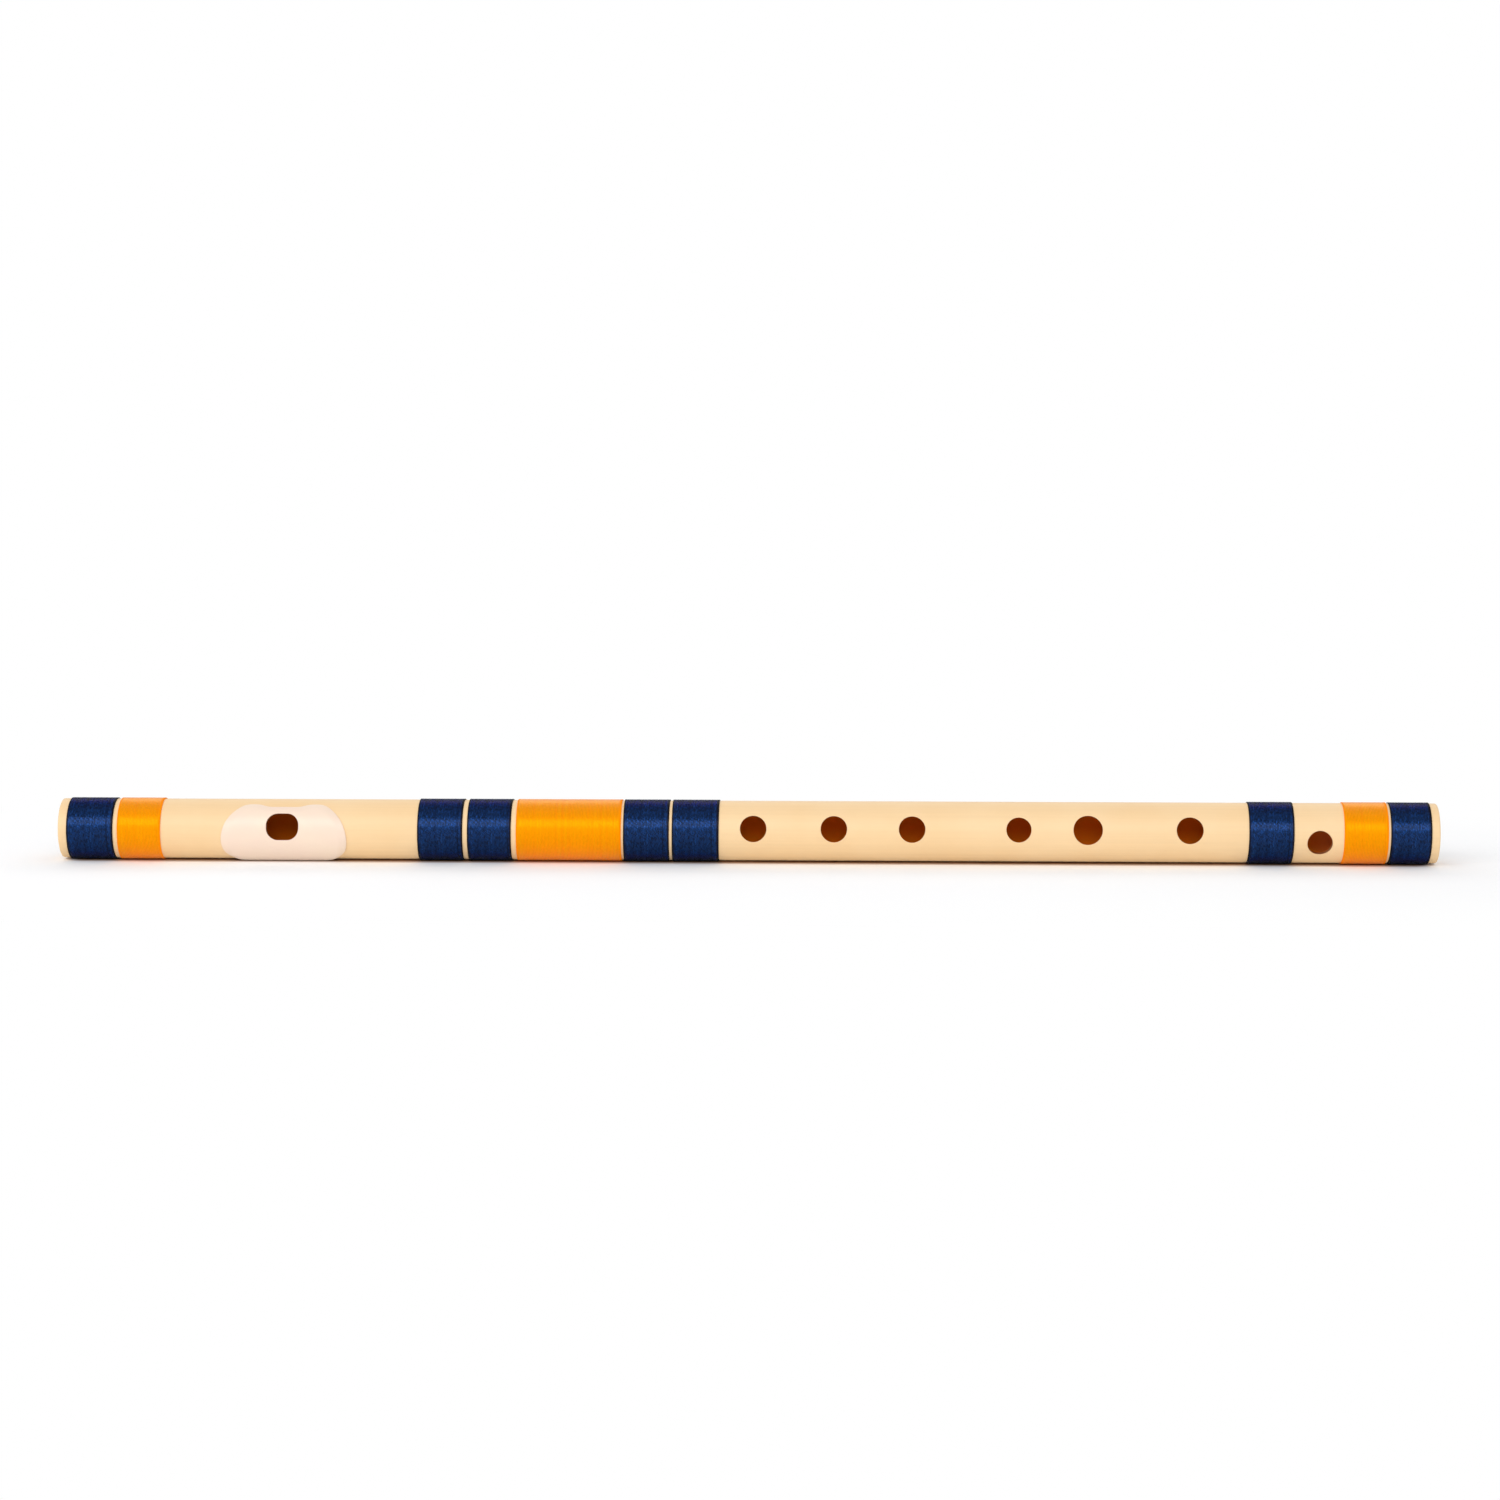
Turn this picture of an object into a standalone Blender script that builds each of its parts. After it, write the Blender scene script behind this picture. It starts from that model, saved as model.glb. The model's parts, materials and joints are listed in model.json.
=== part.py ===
"""Bansuri: a side-blown flute made from plastic pipe, with a lip plate and thread bindings.

+X runs from the head end, where it is blown, to the foot. +Z is up, and the holes face -Y.
The flute lies on its bindings on the plane z = 0, with the middle of its length over the origin.
Lengths along the flute are measured from the head end. Angles around it are measured at its
axis: 0 is straight ahead along -Y, 90 degrees is up and -90 degrees is down.
"""

import math

import bmesh
import bpy
import numpy as np

MM = 0.001

# Tube
TUBE_RADIUS = 10.7 * MM
WALL = 2.1 * MM
HEAD_LENGTH = 81.1 * MM
SOUNDING_LENGTH = 412.9 * MM
OUTER_RIM_ROUNDING = 0.5 * MM
INNER_RIM_ROUNDING = 0.3 * MM
FACETS = 60

# Blow hole, a rectangle with round corners
ROW_ANGLE = math.radians(12.0)
BLOW_HOLE_LENGTH = 11.3 * MM
BLOW_HOLE_HEIGHT = 9.3 * MM
BLOW_HOLE_CORNER = 3.8 * MM

# Finger holes: the share of the sounding length that sets the note, and the diameter
FINGER_HOLES = (
    (0.4085, 9.2 * MM),
    (0.4784, 9.2 * MM),
    (0.5458, 9.2 * MM),
    (0.6380, 8.7 * MM),
    (0.6976, 10.2 * MM),
    (0.7851, 9.3 * MM),
)

# Vent hole, turned down out of the row
VENT_FROM_FOOT = 42.6 * MM
VENT_DIAMETER = 8.8 * MM
VENT_BELOW_ROW = math.radians(23.5)

# Bindings of touching thread: name, colour, width, and the bare tube up to the next one
THREAD_THICKNESS = 0.3 * MM
SEAT_GAP = 0.1 * MM
SHOULDER = 0.15 * MM
HEAD_BARE_RIM = 3.1 * MM
HEAD_BINDINGS = (
    ("binding_head_navy", "thread_navy", 16.7 * MM, 1.6 * MM),
    ("binding_head_orange", "thread_orange", 15.6 * MM, 0.0),
)
MIDDLE_BINDINGS = (
    ("binding_middle_navy_1", "thread_navy", 16.2 * MM, 1.7 * MM),
    ("binding_middle_navy_2", "thread_navy", 15.7 * MM, 1.8 * MM),
    ("binding_middle_orange", "thread_orange", 37.6 * MM, 0.8 * MM),
    ("binding_middle_navy_3", "thread_navy", 16.4 * MM, 1.0 * MM),
    ("binding_middle_navy_4", "thread_navy", 16.8 * MM, 0.0),
)
LOWER_BINDINGS = (
    ("binding_lower_navy", "thread_navy", 16.0 * MM, 0.0),
)
FOOT_BINDINGS = (
    ("binding_foot_orange", "thread_orange", 15.7 * MM, 0.8 * MM),
    ("binding_foot_navy", "thread_navy", 14.5 * MM, 0.0),
)
FOOT_BARE_RIM = 3.1 * MM
# A binding between two openings leaves this share of the bare stretch on its head side.
HEAD_SIDE_SHARE = 0.772

# Lip plate, a thin shell glued over the blow hole, its rounded outline the same left and right
PLATE_THICKNESS = 0.7 * MM
PLATE_GLUE_GAP = 0.2 * MM
PLATE_EDGE_ROUNDING = 0.9 * MM
PLATE_TABLE_GAP = 0.05 * MM
PLATE_HALF_OUTLINE = (
    (0.0 * MM, math.radians(53.5)),
    (5.0 * MM, math.radians(53.8)),
    (9.3 * MM, math.radians(60.0)),
    (13.6 * MM, math.radians(58.5)),
    (16.4 * MM, math.radians(46.0)),
    (18.9 * MM, math.radians(28.0)),
    (20.9 * MM, math.radians(10.0)),
    (22.1 * MM, math.radians(-14.0)),
    (21.5 * MM, math.radians(-35.0)),
    (19.5 * MM, math.radians(-53.0)),
)
# The lower edge runs just clear of the table: half its length, and how it turns up at its ends.
PLATE_LOWER_EDGE_HALF = 12.5 * MM
PLATE_LOWER_CORNER = (16.9 * MM, math.radians(6.5))
PLATE_RAYS = 72
PLATE_STEPS = 10
PLATE_EDGE_STEPS = 4

# Stopper, a cork pushed into the bore from the head end
STOPPER_LENGTH = 15.0 * MM
STOPPER_TO_BLOW_HOLE = 12.0 * MM
STOPPER_CLEARANCE = 0.1 * MM
STOPPER_CHAMFER = 0.5 * MM

HOLE_SIDES = 40
CORNER_SIDES = 6
RIM_SIDES = 3
CUT_PAST_WALL = 3.0 * MM
WELD_DISTANCE = 0.01 * MM
# Steps in which a curve is measured before its points are spaced out
CURVE_SAMPLES = 40
LOOP_SAMPLES = 720

# Sizes that follow from those above
BORE_RADIUS = TUBE_RADIUS - WALL
TUBE_LENGTH = HEAD_LENGTH + SOUNDING_LENGTH
VENT_AT = TUBE_LENGTH - VENT_FROM_FOOT
THREAD_SEAT = TUBE_RADIUS + SEAT_GAP
THREAD_RADIUS = THREAD_SEAT + THREAD_THICKNESS
PLATE_SEAT = TUBE_RADIUS + PLATE_GLUE_GAP
FACET_ANGLE = 2 * math.pi / FACETS
# The flute rests on a facet of each binding, nearer the axis than the facet's edges.
AXIS_HEIGHT = THREAD_RADIUS * math.cos(FACET_ANGLE / 2)

COLOURS = {
    "pipe_cream": ("FBDBA6", 0.35),
    "plate_white": ("FCE9D0", 0.25),
    "thread_navy": ("16274A", 0.55),
    "thread_orange": ("FC8F05", 0.45),
    "cork": ("C49A6C", 0.85),
}


def clear_scene():
    for old in list(bpy.data.objects):
        bpy.data.objects.remove(old, do_unlink=True)


def collection(name):
    made = bpy.data.collections.new(name)
    bpy.context.scene.collection.children.link(made)
    return made


def linear(hex_colour):
    """The linear red, green and blue of an sRGB hex colour."""
    srgb = [int(hex_colour[i : i + 2], 16) / 255 for i in (0, 2, 4)]
    return [c / 12.92 if c <= 0.04045 else ((c + 0.055) / 1.055) ** 2.4 for c in srgb]


def make_materials():
    made = {}
    for name, (hex_colour, roughness) in COLOURS.items():
        material = bpy.data.materials.new(name)
        material.use_nodes = True
        shader = material.node_tree.nodes["Principled BSDF"]
        shader.inputs["Base Color"].default_value = (*linear(hex_colour), 1.0)
        shader.inputs["Roughness"].default_value = roughness
        shader.inputs["Metallic"].default_value = 0.0
        made[name] = material
    return made


def add_piece(name, mesh, material, along, turn=0.0):
    """An object on the flute's axis, this far from the head end and turned about the axis."""
    piece = bpy.data.objects.new(name, mesh)
    flute.objects.link(piece)
    piece.parent = head_end
    piece.location.x = along
    piece.rotation_euler.x = turn
    mesh.materials.append(materials[material])
    return piece


def turned(name, profile, material, along, closed=True):
    """A piece turned about the flute's axis from (along, radius) points, the outer side first.

    The outer side runs from the foot towards the head. Half a facet's turn lays flats, not
    edges, at the bottom and at every other piece's flats.
    """
    mesh = bpy.data.meshes.new(name)
    last = len(profile) if closed else len(profile) - 1
    edges = [(i, (i + 1) % len(profile)) for i in range(last)]
    mesh.from_pydata([(x, radius, 0.0) for x, radius in profile], edges, [])
    piece = add_piece(name, mesh, material, along, FACET_ANGLE / 2)
    screw = piece.modifiers.new("turn", "SCREW")
    screw.axis = "X"
    screw.steps = FACETS
    screw.render_steps = FACETS
    screw.use_merge_vertices = True
    screw.merge_threshold = WELD_DISTANCE
    screw.use_smooth_shade = True
    return piece


def corner(x, radius, rounding, start):
    """Points of a quarter circle about (x, radius), from the start angle on, anticlockwise."""
    angles = [start + math.pi / 2 * i / RIM_SIDES for i in range(RIM_SIDES + 1)]
    return [(x + rounding * math.cos(a), radius + rounding * math.sin(a)) for a in angles]


def cut(piece, cutter):
    """Cuts a hidden cutter out of a piece."""
    for owner in list(cutter.users_collection):
        owner.objects.unlink(cutter)
    cutters.objects.link(cutter)
    cutter.hide_render = True
    cutter.display_type = "WIRE"
    boolean = piece.modifiers.new(cutter.name, "BOOLEAN")
    boolean.operation = "DIFFERENCE"
    boolean.solver = "EXACT"
    boolean.object = cutter


def aim(cutter, along, angle):
    """Lays a cutter's local Z outwards at an angle, from the axis to just past the wall."""
    reach = (TUBE_RADIUS + CUT_PAST_WALL) / 2
    cutter.parent = head_end
    cutter.location = (along, -reach * math.cos(angle), reach * math.sin(angle))
    cutter.rotation_euler.x = math.pi / 2 - angle


def round_hole(piece, name, along, angle, diameter):
    bpy.ops.mesh.primitive_cylinder_add(
        vertices=HOLE_SIDES, radius=diameter / 2, depth=TUBE_RADIUS + CUT_PAST_WALL
    )
    cutter = bpy.context.object
    cutter.name = name
    aim(cutter, along, angle)
    cut(piece, cutter)


def blow_hole(piece):
    """Cuts the rounded rectangle of the blow hole, from a box with four rounded edges."""
    shape = bmesh.new()
    bmesh.ops.create_cube(shape, size=1.0)
    depth = TUBE_RADIUS + CUT_PAST_WALL
    bmesh.ops.scale(shape, vec=(BLOW_HOLE_LENGTH, BLOW_HOLE_HEIGHT, depth), verts=shape.verts)
    upright = [e for e in shape.edges if abs(e.verts[0].co.z - e.verts[1].co.z) > depth / 2]
    bmesh.ops.bevel(
        shape, geom=upright, offset=BLOW_HOLE_CORNER, segments=CORNER_SIDES, profile=0.5,
        affect="EDGES",
    )
    mesh = bpy.data.meshes.new("blow_hole_cutter")
    shape.to_mesh(mesh)
    shape.free()
    cutter = bpy.data.objects.new("blow_hole_cutter", mesh)
    aim(cutter, HEAD_LENGTH, ROW_ANGLE)
    cut(piece, cutter)


def make_tube():
    foot = TUBE_LENGTH
    outer = OUTER_RIM_ROUNDING
    inner = INNER_RIM_ROUNDING
    rim_foot = corner(foot - outer, TUBE_RADIUS - outer, outer, 0.0)
    rim_head = corner(outer, TUBE_RADIUS - outer, outer, math.pi / 2)
    mouth_head = corner(inner, BORE_RADIUS + inner, inner, math.pi)
    mouth_foot = corner(foot - inner, BORE_RADIUS + inner, inner, 1.5 * math.pi)
    profile = rim_foot + rim_head + mouth_head + mouth_foot
    tube = turned("flute_tube", profile, "pipe_cream", 0.0)
    blow_hole(tube)
    for number, (share, diameter) in enumerate(FINGER_HOLES, 1):
        place = HEAD_LENGTH + share * SOUNDING_LENGTH
        round_hole(tube, f"finger_hole_cutter_{number}", place, ROW_ANGLE, diameter)
    round_hole(tube, "vent_cutter", VENT_AT, ROW_ANGLE - VENT_BELOW_ROW, VENT_DIAMETER)


def make_binding(name, material, along, width):
    """A sleeve in the space that one band of thread fills, its shoulders bevelled."""
    profile = [
        (width, THREAD_SEAT),
        (width, THREAD_RADIUS - SHOULDER),
        (width - SHOULDER, THREAD_RADIUS),
        (SHOULDER, THREAD_RADIUS),
        (0.0, THREAD_RADIUS - SHOULDER),
        (0.0, THREAD_SEAT),
    ]
    turned(name, profile, material, along)


def group_length(group):
    return sum(width + bare for _, _, width, bare in group)


def between(low, high, group):
    """Where a group starts in the bare stretch from low to high."""
    return low + HEAD_SIDE_SHARE * (high - low - group_length(group))


def make_bindings():
    first_share, first_diameter = FINGER_HOLES[0]
    last_share, last_diameter = FINGER_HOLES[-1]
    plate_foot_side = HEAD_LENGTH + max(x for x, _ in PLATE_HALF_OUTLINE)
    first_hole = HEAD_LENGTH + first_share * SOUNDING_LENGTH - first_diameter / 2
    last_hole = HEAD_LENGTH + last_share * SOUNDING_LENGTH + last_diameter / 2
    vent = VENT_AT - VENT_DIAMETER / 2
    starts = (
        (HEAD_BINDINGS, HEAD_BARE_RIM),
        (MIDDLE_BINDINGS, between(plate_foot_side, first_hole, MIDDLE_BINDINGS)),
        (LOWER_BINDINGS, between(last_hole, vent, LOWER_BINDINGS)),
        (FOOT_BINDINGS, TUBE_LENGTH - FOOT_BARE_RIM - group_length(FOOT_BINDINGS)),
    )
    for group, along in starts:
        for name, material, width, bare in group:
            make_binding(name, material, along, width)
            along += width + bare


def rounded_edge(steps):
    """How far in from the plate's outline, and how high over its seat, its round edge runs."""
    turn = np.linspace(0.0, math.pi / 2, steps + 1)
    return PLATE_EDGE_ROUNDING * (1 - np.cos(turn)), PLATE_THICKNESS * np.sin(turn)


def lower_edge_angle():
    """The lowest angle for the plate's outline that keeps its rounded edge above the table."""
    inward, height = rounded_edge(CURVE_SAMPLES)
    radius = PLATE_SEAT + height
    table = np.arccos(np.clip((AXIS_HEIGHT - PLATE_TABLE_GAP) / radius, -1.0, 1.0))
    return -math.pi / 2 + float(np.max(table - inward / radius))


def smooth_loop(points, count):
    """Evenly spaced points on the closed Catmull-Rom curve through the given ones."""
    corners = np.asarray(points)
    t = np.linspace(0.0, 1.0, CURVE_SAMPLES, endpoint=False)[:, None]
    p0, p1, p2, p3 = (np.roll(corners, shift, axis=0)[:, None] for shift in (1, 0, -1, -2))
    dense = 0.5 * (
        2 * p1
        + (p2 - p0) * t
        + (2 * p0 - 5 * p1 + 4 * p2 - p3) * t**2
        + (3 * p1 - p0 - 3 * p2 + p3) * t**3
    ).reshape(-1, 2)
    dense = np.vstack([dense, dense[:1]])
    length = np.concatenate([[0.0], np.cumsum(np.linalg.norm(np.diff(dense, axis=0), axis=1))])
    even = np.linspace(0.0, length[-1], count, endpoint=False)
    return np.stack([np.interp(even, length, dense[:, i]) for i in (0, 1)], axis=1)


def plate_outline(unrolled_radius):
    """The plate's outline laid flat: (along, around) points about the blow hole's middle."""
    low = lower_edge_angle()
    corner_x, corner_up = PLATE_LOWER_CORNER
    right = list(PLATE_HALF_OUTLINE)
    right += [(corner_x, low + corner_up), (PLATE_LOWER_EDGE_HALF, low), (0.0, low)]
    left = [(-x, angle) for x, angle in right[-2:0:-1]]
    flat = [(x, (angle - ROW_ANGLE) * unrolled_radius) for x, angle in right + left]
    return smooth_loop(flat, PLATE_RAYS)


def blow_hole_edge(directions):
    """Points of the blow hole's rounded rectangle in these directions from its middle."""
    half = np.array([BLOW_HOLE_LENGTH, BLOW_HOLE_HEIGHT]) / 2 - BLOW_HOLE_CORNER
    turn = np.linspace(-math.pi, math.pi, LOOP_SAMPLES + 1)
    edge = np.stack([np.cos(turn), np.sin(turn)], axis=1)
    edge = np.sign(np.round(edge, 9)) * half + BLOW_HOLE_CORNER * edge
    angle = np.arctan2(edge[:, 1], edge[:, 0])
    order = np.argsort(angle)
    return np.stack(
        [np.interp(directions, angle[order], edge[order, i], period=2 * math.pi) for i in (0, 1)],
        axis=1,
    )


def make_plate():
    """The plate is a closed section carried round the blow hole, from the hole to the outline.

    Each ray's section runs over the outer face, down the rounded edge, back along the seat
    and up the wall of the hole, which is parallel to the hole's own axis, as in the tube.
    """
    outer = PLATE_SEAT + PLATE_THICKNESS
    outline = plate_outline(outer)
    run = np.roll(outline, -1, axis=0) - np.roll(outline, 1, axis=0)
    inwards = np.stack([run[:, 1], -run[:, 0]], axis=1) / np.linalg.norm(run, axis=1)[:, None]
    hole = blow_hole_edge(np.arctan2(outline[:, 1], outline[:, 0]))
    inward, height = rounded_edge(PLATE_EDGE_STEPS)
    rings = []

    def face(edge, radius, shares):
        """Rings between the hole's wall at this radius and an edge, by their share outwards."""
        wall = np.stack([hole[:, 0], outer * np.arcsin(hole[:, 1] / radius)], axis=1)
        for share in shares:
            rings.append((wall + share * (edge - wall), radius))

    face(outline + inwards * PLATE_EDGE_ROUNDING, outer, np.linspace(0, 1, PLATE_STEPS)[:-1])
    for step, rise in zip(inward[::-1], height[::-1]):
        rings.append((outline + inwards * step, PLATE_SEAT + rise))
    face(outline, PLATE_SEAT, np.linspace(1, 0, PLATE_STEPS)[1:])
    points = []
    for flat, radius in rings:
        angle = ROW_ANGLE + flat[:, 1] / outer
        ring = (flat[:, 0], -radius * np.cos(angle), radius * np.sin(angle))
        points.append(np.stack(ring, axis=1))
    section = len(rings)
    vertices = np.concatenate(points)
    faces = []
    for i in range(section):
        for j in range(PLATE_RAYS):
            a, b = i * PLATE_RAYS, (i + 1) % section * PLATE_RAYS
            k = (j + 1) % PLATE_RAYS
            faces.append((a + j, a + k, b + k, b + j))
    mesh = bpy.data.meshes.new("lip_plate")
    mesh.from_pydata(vertices.tolist(), [], faces)
    mesh.shade_smooth()
    add_piece("lip_plate", mesh, "plate_white", HEAD_LENGTH)


def make_stopper():
    radius = BORE_RADIUS - STOPPER_CLEARANCE
    half = STOPPER_LENGTH / 2
    profile = [
        (half, 0.0),
        (half, radius - STOPPER_CHAMFER),
        (half - STOPPER_CHAMFER, radius),
        (STOPPER_CHAMFER - half, radius),
        (-half, radius - STOPPER_CHAMFER),
        (-half, 0.0),
    ]
    middle = HEAD_LENGTH - STOPPER_TO_BLOW_HOLE - half
    turned("stopper_cork", profile, "cork", middle, closed=False)


clear_scene()
flute = collection("bansuri")
cutters = collection("cutters")
materials = make_materials()
head_end = bpy.data.objects.new("head_end", None)
head_end.location = (-TUBE_LENGTH / 2, 0.0, AXIS_HEIGHT)
flute.objects.link(head_end)
make_tube()
make_bindings()
make_plate()
make_stopper()
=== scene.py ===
# %% [markdown]
# # A bansuri on a white table
# A bansuri is a flute that is blown from the side. This one is a cream plastic pipe with a moulded
# lip plate over its blow hole, six finger holes and a vent, bands of thread wound round it, and a
# cork inside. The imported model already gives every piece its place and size, so it is loaded first
# and never moved. Each cell after it makes one piece or one finish, fitted to the model.

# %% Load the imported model
import json
import math

import bmesh
import bpy
import numpy as np
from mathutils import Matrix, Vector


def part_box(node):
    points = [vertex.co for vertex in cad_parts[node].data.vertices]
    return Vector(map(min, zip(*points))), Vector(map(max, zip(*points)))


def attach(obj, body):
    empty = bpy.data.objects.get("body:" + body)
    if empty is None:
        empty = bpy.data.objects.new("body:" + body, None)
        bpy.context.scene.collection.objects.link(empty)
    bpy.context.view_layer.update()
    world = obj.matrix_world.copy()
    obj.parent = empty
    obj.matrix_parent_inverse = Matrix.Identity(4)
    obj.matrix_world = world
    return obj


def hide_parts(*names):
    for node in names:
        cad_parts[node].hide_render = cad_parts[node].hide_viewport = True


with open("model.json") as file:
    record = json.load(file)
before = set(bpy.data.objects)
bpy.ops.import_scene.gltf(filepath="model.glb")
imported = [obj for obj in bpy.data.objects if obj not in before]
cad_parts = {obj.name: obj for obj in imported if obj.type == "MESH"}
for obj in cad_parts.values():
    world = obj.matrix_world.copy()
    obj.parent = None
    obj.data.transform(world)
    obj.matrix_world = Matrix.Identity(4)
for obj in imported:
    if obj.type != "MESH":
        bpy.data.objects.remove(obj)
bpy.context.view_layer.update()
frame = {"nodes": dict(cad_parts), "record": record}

# %% [markdown]
# ## The sizes that the pieces share
# Everything sits round one line, the pipe's axis, so the radius, the wall and the height of that
# line are all that the pieces need to fit each other. The height comes from the model's box. The
# holes' places along the pipe come from the openings that the model's record names, because a
# place that is written twice can drift apart. The holes are 0.15 to 0.25 mm wider than the
# model's, which has no broken edges, and the vent hole is turned down out of the row. Values that
# must be equal are rounded to so many decimal places first.

# %% Shared sizes
MM = 0.001
DECIMAL_PLACES = 9
TUBE_RADIUS = 10.7 * MM
WALL = 2.1 * MM
BORE_RADIUS = TUBE_RADIUS - WALL
tube_low, tube_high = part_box("flute_tube")
AXIS_HEIGHT = (tube_low.z + tube_high.z) / 2
ROW_ANGLE = math.radians(12.0)
VENT_ANGLE = ROW_ANGLE - math.radians(24.5)
FINGER_HOLE_DIAMETERS = [d * MM for d in (9.4, 9.4, 9.4, 8.9, 10.4, 9.5)]
VENT_DIAMETER = 8.95 * MM
BLOW_HOLE_LENGTH = 11.55 * MM
BLOW_HOLE_HEIGHT = 9.5 * MM
BLOW_HOLE_CORNER = 4.2 * MM
openings = {o["name"]: o["box_m"] for o in frame["record"]["physics"]["openings"]}


def along_of(opening):
    """The middle of an opening along the pipe."""
    low, high = openings[opening]
    return (low[0] + high[0]) / 2


def place(along, angle, radius):
    """Points round the pipe's axis. x is the distance along it, y is minus the radius times the
    cosine of the angle, and z is the axis's height plus the radius times its sine, so an angle of
    0 faces the camera and 90 degrees is up."""
    along, angle, radius = np.broadcast_arrays(along, angle, radius)
    around = (-radius * np.cos(angle), AXIS_HEIGHT + radius * np.sin(angle))
    return np.stack([along, *around], axis=-1)


print(f"axis height {AXIS_HEIGHT / MM:.2f} mm, blow hole at {along_of('blow_hole') / MM:.1f} mm")

# %% [markdown]
# ## From arrays to meshes
# Each surface here is a grid: a formula gives one point for every row and column. Blender can take
# such arrays whole with foreach_set, which is far quicker than adding vertices one by one. Grids
# that meet are made with equal points along the seam, and one weld joins them.

# %% Mesh helpers
WELD_DISTANCE = 0.002 * MM


def grid_quads(rows, columns, close_rows=False):
    """The corner numbers of a grid's faces. The corner at a row and a column has the number row
    times columns plus column. The last column joins the first, and so can the last row."""
    i = np.arange(rows if close_rows else rows - 1)[:, None]
    j = np.arange(columns)[None, :]
    i_next, j_next = (i + 1) % rows, (j + 1) % columns
    corners = [i * columns + j, i_next * columns + j, i_next * columns + j_next, i * columns + j_next]
    return np.stack(np.broadcast_arrays(*corners), axis=-1)


def make_piece(name, points, quads, uv_maps=()):
    """A smooth-shaded object from arrays of points and of faces' corners, welded along its seams.
    A UV map is given as its name and an array with two numbers for each corner of each face."""
    quads = quads.reshape(-1, 4).astype(np.int32)
    mesh = bpy.data.meshes.new(name)
    mesh.vertices.add(len(points))
    mesh.vertices.foreach_set("co", np.asarray(points, np.float32).ravel())
    mesh.loops.add(quads.size)
    mesh.loops.foreach_set("vertex_index", quads.ravel())
    mesh.polygons.add(len(quads))
    mesh.polygons.foreach_set("loop_start", np.arange(0, quads.size, 4, dtype=np.int32))
    mesh.update(calc_edges=True)
    for map_name, corners in uv_maps:
        layer = mesh.uv_layers.new(name=map_name, do_init=False)
        layer.uv.foreach_set("vector", np.asarray(corners, np.float32).ravel())
    shape = bmesh.new()
    shape.from_mesh(mesh)
    bmesh.ops.remove_doubles(shape, verts=shape.verts, dist=WELD_DISTANCE)
    open_edges = sum(len(edge.link_faces) != 2 for edge in shape.edges)
    triangles = sum(len(face.verts) - 2 for face in shape.faces)
    volume = shape.calc_volume(signed=True) / MM**3
    shape.to_mesh(mesh)
    shape.free()
    mesh.shade_smooth()
    piece = bpy.data.objects.new(name, mesh)
    bpy.context.scene.collection.objects.link(piece)
    print(f"{name}: {triangles} triangles, {open_edges} open edges, {volume:.1f} mm3")
    return piece


def stand_for(piece, node, body):
    """The piece moves with a body and stands for a node, which is hidden."""
    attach(piece, body)
    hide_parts(node)


# %% [markdown]
# ## The pipe
# The real pipe is extruded, cut to length, rounded at its rims, and drilled. A boolean cut in a
# fine cylinder would leave slivers that show in the gloss, so the wall is one closed outline
# carried round the axis, with a square window left open at each hole. The window is then filled
# by a ring surface, which runs in from the window, over a softly broken edge, down through the
# wall and out to the matching window in the bore. The hole keeps its true drilled shape. The
# outline's straight rows stand close together at the windows and far apart between them.

# %% The pipe's outline
COLUMNS = 180
COLUMN_ANGLE = 2 * math.pi / COLUMNS
OUTER_RIM_ROUNDING = 0.6 * MM
INNER_RIM_ROUNDING = 0.35 * MM
RIM_STEPS = 5
WINDOW_HALF_LENGTH = 8.0 * MM
WINDOW_ROWS = 16
WINDOW_HALF_COLUMNS = 23
PLAIN_ROW_STEP = 12.0 * MM
column_angles = ROW_ANGLE + COLUMN_ANGLE * np.arange(COLUMNS)


def arc(along, radius, rounding, start, end):
    """Points of an arc about (along, radius), from one angle in degrees to another."""
    turn = np.radians(np.linspace(start, end, RIM_STEPS + 1))
    return np.stack([along + rounding * np.cos(turn), radius + rounding * np.sin(turn)], axis=1)


def rows_along(stops):
    """Distances along the pipe: every stop, and even steps in the plain stretches between them."""
    runs = [
        np.linspace(a, b, math.ceil((b - a) / PLAIN_ROW_STEP), endpoint=False)
        for a, b in zip(stops[:-1], stops[1:])
    ]
    return np.concatenate(runs + [stops[-1:]])


holes = [("blow_hole", ROW_ANGLE, BLOW_HOLE_LENGTH, BLOW_HOLE_HEIGHT, BLOW_HOLE_CORNER)]
holes += [
    (f"finger_hole_{n}", ROW_ANGLE, d, d, d / 2) for n, d in enumerate(FINGER_HOLE_DIAMETERS, 1)
]
holes += [("vent_hole", VENT_ANGLE, VENT_DIAMETER, VENT_DIAMETER, VENT_DIAMETER / 2)]

head, foot = tube_low.x, tube_high.x
outer, inner = OUTER_RIM_ROUNDING, INNER_RIM_ROUNDING
stops = [head + outer, head + 2 * outer, foot - 2 * outer, foot - outer]
for name, *_ in holes:
    stops.extend(along_of(name) + np.linspace(-WINDOW_HALF_LENGTH, WINDOW_HALF_LENGTH, WINDOW_ROWS + 1))
straight = rows_along(np.unique(np.round(stops, DECIMAL_PLACES)))
outline = np.concatenate([
    np.stack([straight, np.full_like(straight, TUBE_RADIUS)], axis=1),
    arc(foot - outer, TUBE_RADIUS - outer, outer, 90, 0)[1:],
    arc(foot - inner, BORE_RADIUS + inner, inner, 0, -90)[:-1],
    np.stack([straight[::-1], np.full_like(straight, BORE_RADIUS)], axis=1),
    arc(head + inner, BORE_RADIUS + inner, inner, -90, -180)[1:],
    arc(head + outer, TUBE_RADIUS - outer, outer, 180, 90)[:-1],
])
print("outline:", len(outline), "points, carried to", COLUMNS, "columns")

# %% A hole's edge
EDGE_SAMPLES = 1440


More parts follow.
